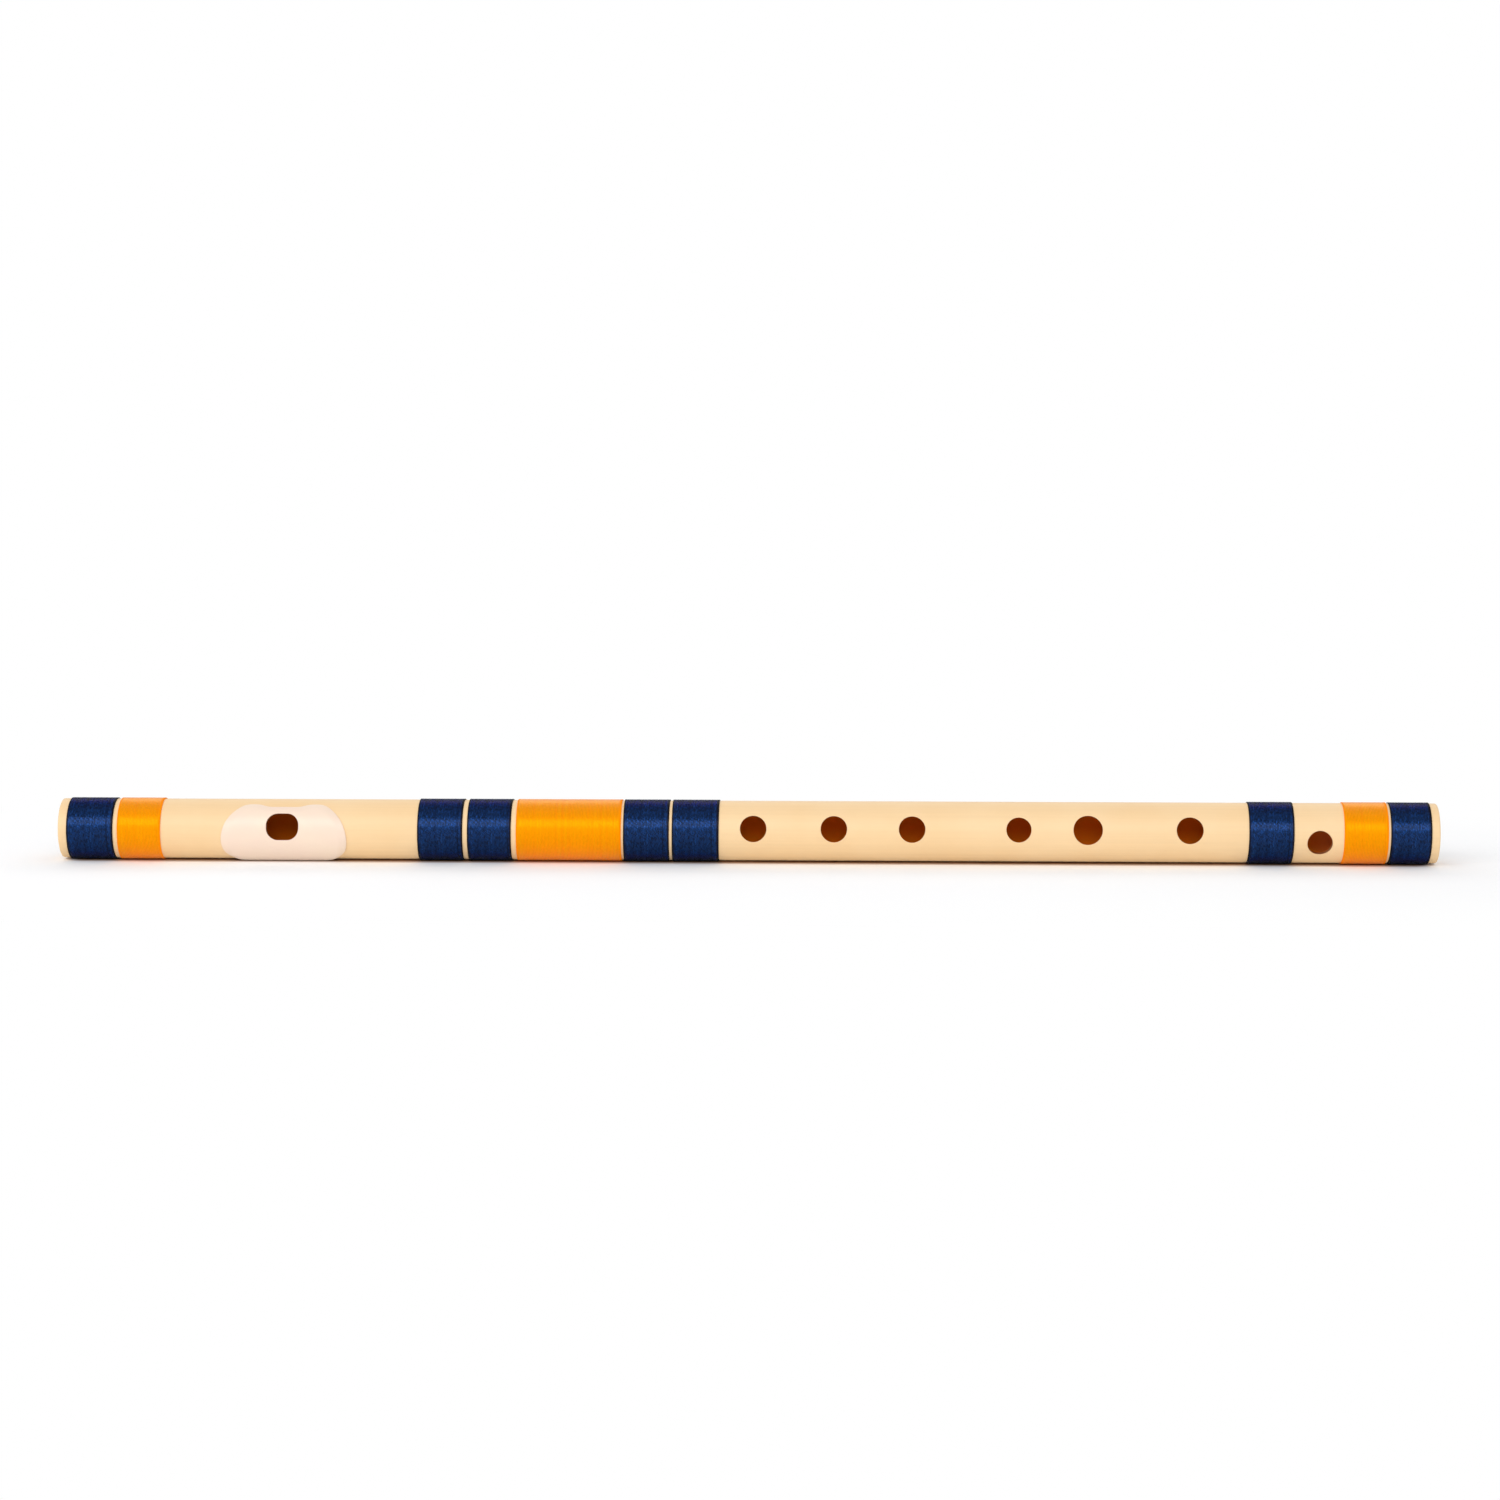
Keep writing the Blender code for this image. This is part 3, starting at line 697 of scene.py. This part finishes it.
def extruded_cream_pvc():
    """Faintly clouded cream, times the tone of the die lines, which also lie in the gloss and the
    relief. Inside, the colour and the tint of the shine are the inside's painted light and shade."""
    material, tree, shader = finish("extruded_cream_pvc", IOR=1.53, Specular_IOR_Level=0.35)
    here = add(tree, "ShaderNodeTexCoord").outputs["Object"]
    lines_at = add(tree, "ShaderNodeMapping", {
        "Vector": here, "Scale": (1 / DIE_LINE_LENGTH, 1 / DIE_LINE_WIDTH, 1 / DIE_LINE_WIDTH),
    }).outputs["Vector"]
    lines = add(tree, "ShaderNodeTexNoise", {
        "Vector": lines_at, "Scale": 1.0, "Detail": 3.0,
    }).outputs["Fac"]
    clouds = add(tree, "ShaderNodeTexNoise", {
        "Vector": here, "Scale": 1 / CLOUD_SIZE, "Detail": 4.0,
    }).outputs["Fac"]
    cloud_share = add(tree, "ShaderNodeMapRange", {
        "Value": clouds, "From Min": 0.35, "From Max": 0.65,
    }).outputs["Result"]
    skin = add(tree, "ShaderNodeMix", {
        "Factor": cloud_share, "A": linear(CREAM), "B": linear(CREAM_CLOUD),
    }, data_type="RGBA").outputs[2]
    line_tone = add(tree, "ShaderNodeMapRange", {
        "Value": lines, "From Min": 0.3, "From Max": 0.7, "To Min": 0.975, "To Max": 1.01,
    }).outputs["Result"]
    skin = add(tree, "ShaderNodeVectorMath", {0: skin, 1: line_tone}, operation="MULTIPLY").outputs[0]

    inside, share = inside_colour(tree, here)
    colour = add(tree, "ShaderNodeMix", {
        "Factor": share, "A": skin, "B": inside,
    }, data_type="RGBA").outputs[2]
    tree.links.new(colour, shader.inputs["Base Color"])
    # Inside, the shine is tinted dark: painted shade on its reflections.
    tint = add(tree, "ShaderNodeMix", {
        "Factor": share, "A": (1, 1, 1, 1), "B": linear(INSIDE_SHINE_SHADE),
    }, data_type="RGBA").outputs[2]
    tree.links.new(tint, shader.inputs["Specular Tint"])
    gloss = add(tree, "ShaderNodeMapRange", {
        "Value": lines, "To Min": PIPE_ROUGHNESS[0], "To Max": PIPE_ROUGHNESS[1],
    }).outputs["Result"]
    tree.links.new(gloss, shader.inputs["Roughness"])
    bump = add(tree, "ShaderNodeBump", {"Height": lines, "Strength": 0.15, "Distance": 0.02 * MM})
    tree.links.new(bump.outputs["Normal"], shader.inputs["Normal"])
    return material


wear(pipe, extruded_cream_pvc())
print("pipe finish made")

# %% [markdown]
# ### Moulded warm white plastic
# The lip plate is injection moulded, probably in ABS, which has an index of refraction near 1.54.
# It is smoother than the pipe and faintly cloudy, between a warm white and a pink one. The map
# named hole gives the wall of its blow hole the same painted shade, a dark brown, as the pipe's
# holes, and tints its shine dark too.

# %% Moulded warm white plastic
PLATE_WHITE = "F7E2CB"
PLATE_PINK = "F6DCCB"
PLATE_CLOUD_SIZE = 9 * MM
PLATE_GRAIN = 0.25 * MM
PLATE_ROUGHNESS = (0.26, 0.36)


def moulded_warm_white():
    """Clouds mix the two whites and the gloss, and a fine grain is the relief."""
    material, tree, shader = finish("moulded_warm_white", IOR=1.54, Specular_IOR_Level=0.4)
    depth = add(tree, "ShaderNodeUVMap", uv_map="hole").outputs["UV"]
    depth = add(tree, "ShaderNodeSeparateXYZ", {"Vector": depth}).outputs["X"]
    here = add(tree, "ShaderNodeTexCoord").outputs["Object"]
    clouds = add(tree, "ShaderNodeTexNoise", {
        "Vector": here, "Scale": 1 / PLATE_CLOUD_SIZE,
    }).outputs["Fac"]
    colour = add(tree, "ShaderNodeMix", {
        "Factor": clouds, "A": linear(PLATE_WHITE), "B": linear(PLATE_PINK),
    }, data_type="RGBA").outputs[2]
    # The hole's wall takes a dark brown painted shade, and its shine a dark tint.
    colour = add(tree, "ShaderNodeMix", {
        "Factor": depth, "A": colour, "B": linear(HOLE_WALL_SHADE),
    }, data_type="RGBA").outputs[2]
    tree.links.new(colour, shader.inputs["Base Color"])
    tint = add(tree, "ShaderNodeMix", {
        "Factor": depth, "A": (1, 1, 1, 1), "B": linear(INSIDE_SHINE_SHADE),
    }, data_type="RGBA").outputs[2]
    tree.links.new(tint, shader.inputs["Specular Tint"])
    gloss = add(tree, "ShaderNodeMapRange", {
        "Value": clouds, "To Min": PLATE_ROUGHNESS[0], "To Max": PLATE_ROUGHNESS[1],
    }).outputs["Result"]
    tree.links.new(gloss, shader.inputs["Roughness"])
    grain = add(tree, "ShaderNodeTexNoise", {
        "Vector": here, "Scale": 1 / PLATE_GRAIN, "Detail": 2.0,
    }).outputs["Fac"]
    bump = add(tree, "ShaderNodeBump", {"Height": grain, "Strength": 0.1, "Distance": 0.01 * MM})
    tree.links.new(bump.outputs["Normal"], shader.inputs["Normal"])
    return material


wear(plate, moulded_warm_white())
print("lip plate finish made")

# %% [markdown]
# ### Wound polyester thread
# The thread is twisted from shiny filaments. Light that a dark filament sends back has passed
# through its dye, so nearly all of the navy's shine has the dye's colour, as a metal's has. It is
# made as a metal is, with a thin clear coat for the little white shine of the surface. The orange
# scatters most of its light, so it is mostly diffuse. Polyester's index of refraction is about
# 1.6, and 1.72 gives the orange the shine that it shows. Each stretch of thread took the dye a
# little differently, so the tone follows the thread and not the surface, which is what the map
# named thread is for: its first number is the distance along the thread and its second counts
# the turns. Single filaments are too fine to show, so they are drawn as tufts 1.2 mm long and a
# turn and a half wide.

# %% A thread's tone
DYE_STRETCH = 160 * MM
TUFT_LENGTH = 1.2 * MM
TUFTS_PER_TURN = 0.7
GROOVE_START = 0.3
GROOVE_SHADE = 0.7


def thread_tone(tree, along, across, tufts, dark, light, contrast):
    """The dye's colour goes between dark and light along the thread. It is multiplied by a shade
    in the grooves between the turns, and by 1 less or more the contrast from tuft to tuft."""
    dye_at = add(tree, "ShaderNodeMath", {0: along, 1: 1 / DYE_STRETCH}, operation="MULTIPLY").outputs[0]
    dye = add(tree, "ShaderNodeTexNoise", {
        "W": dye_at, "Scale": 1.0, "Detail": 4.0,
    }, noise_dimensions="1D").outputs["Fac"]
    dye_share = add(tree, "ShaderNodeMapRange", {
        "Value": dye, "From Min": 0.3, "From Max": 0.7,
    }).outputs["Result"]
    colour = add(tree, "ShaderNodeMix", {
        "Factor": dye_share, "A": linear(dark), "B": linear(light),
    }, data_type="RGBA").outputs[2]
    from_middle = add(tree, "ShaderNodeMath", {0: across, 1: 0.5}, operation="SUBTRACT").outputs[0]
    from_middle = add(tree, "ShaderNodeMath", {0: from_middle}, operation="ABSOLUTE").outputs[0]
    groove = add(tree, "ShaderNodeMapRange", {
        "Value": from_middle,
        "From Min": GROOVE_START, "From Max": 0.5, "To Min": 1.0, "To Max": GROOVE_SHADE,
    }).outputs["Result"]
    colour = add(tree, "ShaderNodeVectorMath", {0: colour, 1: groove}, operation="MULTIPLY").outputs[0]
    glint = add(tree, "ShaderNodeMapRange", {
        "Value": tufts,
        "From Min": 0.35, "From Max": 0.65, "To Min": 1 - contrast, "To Max": 1 + contrast,
    }).outputs["Result"]
    return add(tree, "ShaderNodeVectorMath", {0: colour, 1: glint}, operation="MULTIPLY").outputs[0]


# %% A thread's relief
TWIST_LENGTH = 1.1 * MM
TWIST_SHARE = 0.4
TUFT_SHARE = 8.0


def thread_relief(tree, along, across, tufts):
    """The tufts and the twist, each times its share. The twist is the sine of a phase that grows
    along the thread and across it, so its ridges slant."""
    turned = add(tree, "ShaderNodeMath", {
        0: along, 1: 2 * math.pi / TWIST_LENGTH,
    }, operation="MULTIPLY").outputs[0]
    slant = add(tree, "ShaderNodeMath", {0: across, 1: 2 * math.pi}, operation="MULTIPLY").outputs[0]
    phase = add(tree, "ShaderNodeMath", {0: turned, 1: slant}, operation="ADD").outputs[0]
    twist = add(tree, "ShaderNodeMath", {0: phase}, operation="SINE").outputs[0]
    twist = add(tree, "ShaderNodeMath", {0: twist, 1: TWIST_SHARE}, operation="MULTIPLY").outputs[0]
    return add(tree, "ShaderNodeMath", {
        0: tufts, 1: TUFT_SHARE, 2: twist,
    }, operation="MULTIPLY_ADD").outputs[0]


# %% [markdown]
# The outermost turns of each band take a colour of their own and grow rough, and a navy band's
# are darker and duller than the rest. The map named edge gives the distance from the band's
# nearer end.

# %% Wound polyester thread
END_TURNS = (0.5 * MM, 1.2 * MM)
END_ROUGHNESS = 0.8
RELIEF_DEPTH = 0.06 * MM


def wound_thread(name, dark, light, end, shine, relief, contrast, roughness, **constants):
    """A thread's finish from its dye's two tones, the colour of its end turns, the tint of its
    shine, the strength of its relief, the contrast between its tufts, and its roughness."""
    material, tree, shader = finish(name, **constants)
    thread = add(tree, "ShaderNodeUVMap", uv_map="thread").outputs["UV"]
    parts = add(tree, "ShaderNodeSeparateXYZ", {"Vector": thread})
    along, turns = parts.outputs["X"], parts.outputs["Y"]
    across = add(tree, "ShaderNodeMath", {0: turns}, operation="FRACT").outputs[0]
    tufts_at = add(tree, "ShaderNodeVectorMath", {
        0: thread, 1: (1 / TUFT_LENGTH, TUFTS_PER_TURN, 1.0),
    }, operation="MULTIPLY").outputs[0]
    tufts = add(tree, "ShaderNodeTexNoise", {
        "Vector": tufts_at, "Scale": 1.0, "Detail": 2.0,
    }).outputs["Fac"]
    edge = add(tree, "ShaderNodeUVMap", uv_map="edge").outputs["UV"]
    from_end = add(tree, "ShaderNodeSeparateXYZ", {"Vector": edge}).outputs["X"]
    at_end = add(tree, "ShaderNodeMapRange", {
        "Value": from_end,
        "From Min": END_TURNS[0], "From Max": END_TURNS[1], "To Min": 1.0, "To Max": 0.0,
    }).outputs["Result"]

    tone = thread_tone(tree, along, across, tufts, dark, light, contrast)
    colour = add(tree, "ShaderNodeMix", {
        "Factor": at_end, "A": tone, "B": linear(end),
    }, data_type="RGBA").outputs[2]
    tree.links.new(colour, shader.inputs["Base Color"])
    tint = add(tree, "ShaderNodeMix", {
        "Factor": at_end, "A": linear(shine), "B": linear(end),
    }, data_type="RGBA").outputs[2]
    tree.links.new(tint, shader.inputs["Specular Tint"])
    rough = add(tree, "ShaderNodeMapRange", {
        "Value": at_end, "To Min": roughness, "To Max": END_ROUGHNESS,
    }).outputs["Result"]
    tree.links.new(rough, shader.inputs["Roughness"])
    height = thread_relief(tree, along, across, tufts)
    bump = add(tree, "ShaderNodeBump", {"Height": height, "Strength": relief, "Distance": RELIEF_DEPTH})
    tree.links.new(bump.outputs["Normal"], shader.inputs["Normal"])
    return material


# %% The two colours of thread
thread_finishes = {
    "navy": wound_thread(
        "wound_navy_thread", dark="06224C", light="12386F", end="181420", shine="3C5A88",
        relief=0.4, contrast=0.6, roughness=0.27, Metallic=1.0, Coat_Weight=0.2, Coat_Roughness=0.15,
    ),
    "orange": wound_thread(
        "wound_orange_thread", dark="FF9000", light="FF9C00", end="FF9200", shine="FFD010",
        relief=0.15, contrast=0.05, roughness=0.28, Metallic=0.1, IOR=1.72, Specular_IOR_Level=1.0,
    ),
}
for band, colour in windings.items():
    wear(band, thread_finishes[colour])
print("thread finishes made")

# %% [markdown]
# ### Natural cork
# Cork is bark, made of tiny air cells, so it is matt and soft brown, with dark pores. Noise gives
# the mottling, and the middles of a cell pattern's cells are the pores.

# %% Natural cork
CORK_LIGHT = "B58A5C"
CORK_DARK = "8A5E34"
CORK_PORE = "4A2A14"
CORK_GRAIN = 1.1 * MM
CORK_PORE_SPACING = 2.2 * MM
PORE_EDGE = (0.12, 0.22)


def natural_cork():
    """Mottled brown, with a pore where a point lies near the middle of its cell."""
    material, tree, shader = finish("natural_cork", Roughness=0.85, IOR=1.45, Specular_IOR_Level=0.25)
    here = add(tree, "ShaderNodeTexCoord").outputs["Object"]
    grain = add(tree, "ShaderNodeTexNoise", {
        "Vector": here, "Scale": 1 / CORK_GRAIN, "Detail": 5.0,
    }).outputs["Fac"]
    grain_share = add(tree, "ShaderNodeMapRange", {
        "Value": grain, "From Min": 0.35, "From Max": 0.65,
    }).outputs["Result"]
    colour = add(tree, "ShaderNodeMix", {
        "Factor": grain_share, "A": linear(CORK_LIGHT), "B": linear(CORK_DARK),
    }, data_type="RGBA").outputs[2]
    cells = add(tree, "ShaderNodeTexVoronoi", {
        "Vector": here, "Scale": 1 / CORK_PORE_SPACING, "Randomness": 1.0,
    }).outputs["Distance"]
    pore = add(tree, "ShaderNodeMapRange", {
        "Value": cells,
        "From Min": PORE_EDGE[0], "From Max": PORE_EDGE[1], "To Min": 1.0, "To Max": 0.0,
    }).outputs["Result"]
    colour = add(tree, "ShaderNodeMix", {
        "Factor": pore, "A": colour, "B": linear(CORK_PORE),
    }, data_type="RGBA").outputs[2]
    tree.links.new(colour, shader.inputs["Base Color"])
    bump = add(tree, "ShaderNodeBump", {"Height": grain, "Strength": 0.6, "Distance": 0.1 * MM})
    tree.links.new(bump.outputs["Normal"], shader.inputs["Normal"])
    return material


wear(stopper, natural_cork())
print("cork finish made")

# %% [markdown]
# ## The table and the light
# The flute lies on a plain white table in front of white. The table keeps the flute's soft shadow,
# and further out it turns to plain white where only the camera and mirrors look. The light that
# reaches the table close to the flute has bounced off the flute's warm skin, and further out the
# pale room lights the shadow. A renderer's few bounces lose much of both, so for the camera a
# painted shadow, warm and darker than white, lies close to the flute, and painted light, a faint
# cool glow, beyond it, while the flute is lit by a plain white table. A wide softbox stands in
# front and above, a little to the head's side, so a broad streak of shine lies along the upper
# front of each band. A weaker one behind lights the back, and the pale world fills in the rest.

# %% Rays and distances
def seen_directly(tree, mirrored=1.0):
    """1 on rays from the camera and on those that pass through, a share on those that reflect, and
    0 on the others."""
    rays = add(tree, "ShaderNodeLightPath").outputs
    reflected = add(tree, "ShaderNodeMath", {
        0: rays["Is Glossy Ray"], 1: mirrored,
    }, operation="MULTIPLY").outputs[0]
    either = add(tree, "ShaderNodeMath", {
        0: rays["Is Camera Ray"], 1: reflected,
    }, operation="MAXIMUM").outputs[0]
    return add(tree, "ShaderNodeMath", {
        0: either, 1: rays["Is Transmission Ray"],
    }, operation="MAXIMUM").outputs[0]


def from_flute(tree, half_length):
    """The distance on the table from a line of this half length under the flute. The half length
    is taken off the distance along the flute, down to 0, and the length of the rest is taken."""
    here = add(tree, "ShaderNodeTexCoord").outputs["Object"]
    beside = add(tree, "ShaderNodeVectorMath", {0: here}, operation="ABSOLUTE").outputs[0]
    beside = add(tree, "ShaderNodeVectorMath", {
        0: beside, 1: (half_length, 0, 0),
    }, operation="SUBTRACT").outputs[0]
    beside = add(tree, "ShaderNodeVectorMath", {
        0: beside, 1: (0, 0, 0),
    }, operation="MAXIMUM").outputs[0]
    return add(tree, "ShaderNodeVectorMath", {0: beside}, operation="LENGTH").outputs["Value"]


# %% The white table
FLOOR_HALF_SIZE = 3.0
FLOOR_DROP = 0.02 * MM
SHADOW_REACH = (40 * MM, 130 * MM)
FLOOR_WHITE = "FFFFFF"
# The glow is painted light and the contact tone a painted shadow, both seen only by the camera.
FLOOR_PAINTED_GLOW = "E4EAFF"
PAINTED_GLOW_LEVEL = 0.06
CONTACT_REACH = (3.5 * MM, 8.5 * MM)
CONTACT_SHADOW_TONE = "A88268"


def white_table():
    """Plain white where it is far out and seen directly. Elsewhere it is diffuse: plain to other
    rays, and to the camera with its painted contact shadow and its painted glow."""
    material = bpy.data.materials.new("white_table")
    material.use_nodes = True
    tree = material.node_tree
    tree.nodes.clear()
    seen = seen_directly(tree)
    far = add(tree, "ShaderNodeMapRange", {
        "Value": from_flute(tree, foot), "From Min": SHADOW_REACH[0], "From Max": SHADOW_REACH[1],
    }, interpolation_type="SMOOTHSTEP").outputs["Result"]
    plain = add(tree, "ShaderNodeMath", {0: far, 1: seen}, operation="MULTIPLY").outputs[0]
    bounce = add(tree, "ShaderNodeBsdfDiffuse", {"Color": linear(FLOOR_WHITE)}).outputs[0]
    # Close to the flute the camera sees a painted shadow, a warm tone darker than white, and beyond it
    # painted light, a faint cool glow.
    contact = add(tree, "ShaderNodeMapRange", {
        "Value": from_flute(tree, foot - CONTACT_REACH[1]),
        "From Min": CONTACT_REACH[0], "From Max": CONTACT_REACH[1],
    }).outputs["Result"]
    tone = add(tree, "ShaderNodeMix", {
        "Factor": contact, "A": linear(CONTACT_SHADOW_TONE), "B": linear(FLOOR_WHITE),
    }, data_type="RGBA").outputs[2]
    painted_glow = add(tree, "ShaderNodeMix", {
        "Factor": contact, "A": (0, 0, 0, 1), "B": linear(FLOOR_PAINTED_GLOW),
    }, data_type="RGBA").outputs[2]
    shadowed = add(tree, "ShaderNodeBsdfDiffuse", {"Color": tone}).outputs[0]
    lift = add(tree, "ShaderNodeEmission", {"Color": painted_glow, "Strength": PAINTED_GLOW_LEVEL}).outputs[0]
    shadowed = add(tree, "ShaderNodeAddShader", {0: shadowed, 1: lift}).outputs[0]
    looked_at = add(tree, "ShaderNodeLightPath").outputs["Is Camera Ray"]
    near = add(tree, "ShaderNodeMixShader", {0: looked_at, 1: bounce, 2: shadowed}).outputs[0]
    white = add(tree, "ShaderNodeEmission", {"Color": (1, 1, 1, 1), "Strength": 1.0}).outputs[0]
    mixed = add(tree, "ShaderNodeMixShader", {0: plain, 1: near, 2: white}).outputs[0]
    add(tree, "ShaderNodeOutputMaterial", {"Surface": mixed})
    return material


side = np.array([-FLOOR_HALF_SIZE, FLOOR_HALF_SIZE])
corners = np.stack([side[[0, 1, 1, 0]], side[[0, 0, 1, 1]], np.full(4, -FLOOR_DROP)], axis=1)
table = make_piece("white_table", corners, np.arange(4))
wear(table, white_table())

# %% The softboxes
def softbox(name, azimuth, elevation, distance, size, radiance):
    """A rectangular lamp that faces the flute. Its power in watts is its radiance times pi times
    its area, and an azimuth of 0 puts it in front."""
    lamp = bpy.data.lights.new(name, "AREA")
    lamp.shape = "RECTANGLE"
    lamp.size, lamp.size_y = size
    lamp.energy = radiance * math.pi * size[0] * size[1]
    made = bpy.data.objects.new(name, lamp)
    turn, rise = math.radians(azimuth), math.radians(elevation)
    made.location = (
        distance * math.sin(turn) * math.cos(rise),
        -distance * math.cos(turn) * math.cos(rise),
        distance * math.sin(rise) + AXIS_HEIGHT,
    )
    made.rotation_euler = (math.pi / 2 - rise, 0.0, turn)
    bpy.context.scene.collection.objects.link(made)


softbox("front_softbox", azimuth=-20, elevation=33, distance=3.0, size=(4.4, 1.3), radiance=2.75)
softbox("back_softbox", azimuth=180, elevation=40, distance=1.6, size=(2.6, 0.6), radiance=1.0)
print("lamps:", len(bpy.data.lights))

# %% The pale world
WORLD_LEVEL = 0.63
SWEEP_TOP = (0.3, 0.5)


def pale_world():
    """White to the camera, and to mirrors only low down, as a white sweep behind the flute is.
    The sweep's top is a range of sines of the elevation. To other rays it is a plain fill."""
    world = bpy.data.worlds.new("pale_world")
    world.use_nodes = True
    tree = world.node_tree
    tree.nodes.clear()
    fill = add(tree, "ShaderNodeBackground", {"Color": (1, 1, 1, 1), "Strength": WORLD_LEVEL}).outputs[0]
    white = add(tree, "ShaderNodeBackground", {"Color": (1, 1, 1, 1), "Strength": 1.0}).outputs[0]
    direction = add(tree, "ShaderNodeTexCoord").outputs["Generated"]
    upwards = add(tree, "ShaderNodeSeparateXYZ", {"Vector": direction}).outputs["Z"]
    on_sweep = add(tree, "ShaderNodeMapRange", {
        "Value": upwards, "From Min": SWEEP_TOP[0], "From Max": SWEEP_TOP[1], "To Min": 1.0, "To Max": 0.0,
    }).outputs["Result"]
    seen = seen_directly(tree, on_sweep)
    mixed = add(tree, "ShaderNodeMixShader", {0: seen, 1: fill, 2: white}).outputs[0]
    add(tree, "ShaderNodeOutputWorld", {"Surface": mixed})
    return world


bpy.context.scene.world = pale_world()
bpy.context.scene.view_settings.view_transform = "Standard"

# %% [markdown]
# ## The camera
# The curved edges of the bands show where the camera stood: straight in front of a point a little
# past the middle, 1.23 m away and 8.7 degrees up. It is turned 1.6 degrees to the head end and
# looks 7.3 degrees down, so the flute lies just under the middle of the picture. A lens of 82 mm
# fills the picture's width with it.

# %% Camera
CAMERA_ALONG = 35.2 * MM
CAMERA_DISTANCE = 1230 * MM
CAMERA_ELEVATION = math.radians(8.66)
CAMERA_TURN = math.radians(1.593)
CAMERA_TILT = math.radians(7.307)
LENS = 82.01
SENSOR_WIDTH = 36.0

camera = bpy.data.objects.new("camera", bpy.data.cameras.new("camera"))
camera.data.lens = LENS
camera.data.sensor_width = SENSOR_WIDTH
camera.location = (
    CAMERA_ALONG,
    -CAMERA_DISTANCE * math.cos(CAMERA_ELEVATION),
    AXIS_HEIGHT + CAMERA_DISTANCE * math.sin(CAMERA_ELEVATION),
)
camera.rotation_euler = (math.pi / 2 - CAMERA_TILT, 0.0, CAMERA_TURN)
bpy.context.scene.collection.objects.link(camera)
bpy.context.scene.camera = camera
